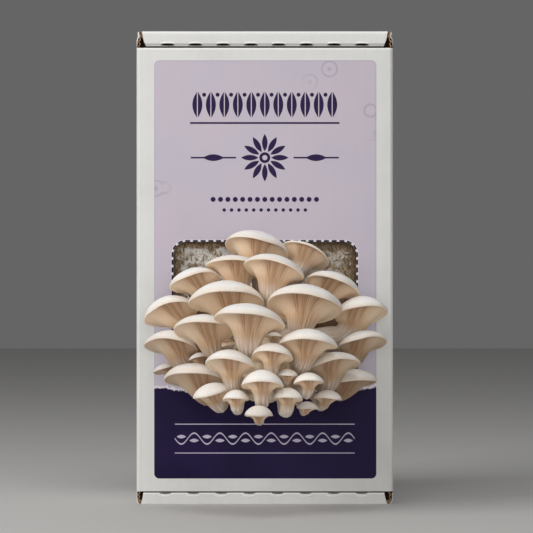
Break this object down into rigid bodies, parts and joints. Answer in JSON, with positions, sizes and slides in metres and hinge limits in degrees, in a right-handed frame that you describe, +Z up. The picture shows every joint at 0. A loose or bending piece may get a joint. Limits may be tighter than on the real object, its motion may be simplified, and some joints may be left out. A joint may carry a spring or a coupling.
{
  "type": "oyster mushroom grow kit",
  "caption": "Oyster mushroom grow kit: a flush of gilled, creamy-white mushrooms growing out of the rounded window in the lid of an upright cardboard mailer packed with straw substrate.",
  "frame": {"origin": "middle of the box's footprint, on the surface that it stands on", "axes": "+Z up along the box, +X to the right as one faces the lid, and -Y out of the lid, the way the mushrooms grow"},
  "size_m": [0.16, 0.2, 0.295],
  "materials": {
    "white_board": "matte",
    "printed_board": "satin",
    "straw_and_mycelium": "matte",
    "mushroom_flesh": "satin",
    "foot_flesh": "matte"
  },
  "bodies": {
    "root": {"box_tray": "white_board", "box_lid": "printed_board", "substrate_block": "straw_and_mycelium", "cluster_foot": "foot_flesh", "mushroom_top_left": "mushroom_flesh", "mushroom_top_right": "mushroom_flesh", "mushroom_upper_left": "mushroom_flesh", "mushroom_upper_middle": "mushroom_flesh", "mushroom_shoulder_left": "mushroom_flesh", "mushroom_shoulder_right": "mushroom_flesh", "mushroom_left_large": "mushroom_flesh", "mushroom_right_large": "mushroom_flesh", "mushroom_far_left_high": "mushroom_flesh", "mushroom_far_right_high": "mushroom_flesh", "mushroom_middle": "mushroom_flesh", "mushroom_left_middle": "mushroom_flesh", "mushroom_far_left_mid": "mushroom_flesh", "mushroom_hidden": "mushroom_flesh", "mushroom_right_middle": "mushroom_flesh", "mushroom_far_right_mid": "mushroom_flesh", "mushroom_centre_small": "mushroom_flesh", "mushroom_left_bud": "mushroom_flesh", "mushroom_left_front": "mushroom_flesh", "mushroom_right_front": "mushroom_flesh", "mushroom_far_left_bud": "mushroom_flesh", "mushroom_left_low": "mushroom_flesh", "mushroom_right_bud": "mushroom_flesh", "mushroom_right_small": "mushroom_flesh", "mushroom_right_low": "mushroom_flesh", "mushroom_centre_front": "mushroom_flesh", "mushroom_lower_left": "mushroom_flesh", "mushroom_lower_left_small": "mushroom_flesh", "mushroom_lower_right_small": "mushroom_flesh", "mushroom_lower_right": "mushroom_flesh", "mushroom_lowest_right": "mushroom_flesh", "mushroom_lowest": "mushroom_flesh"}
  },
  "joints": []
}
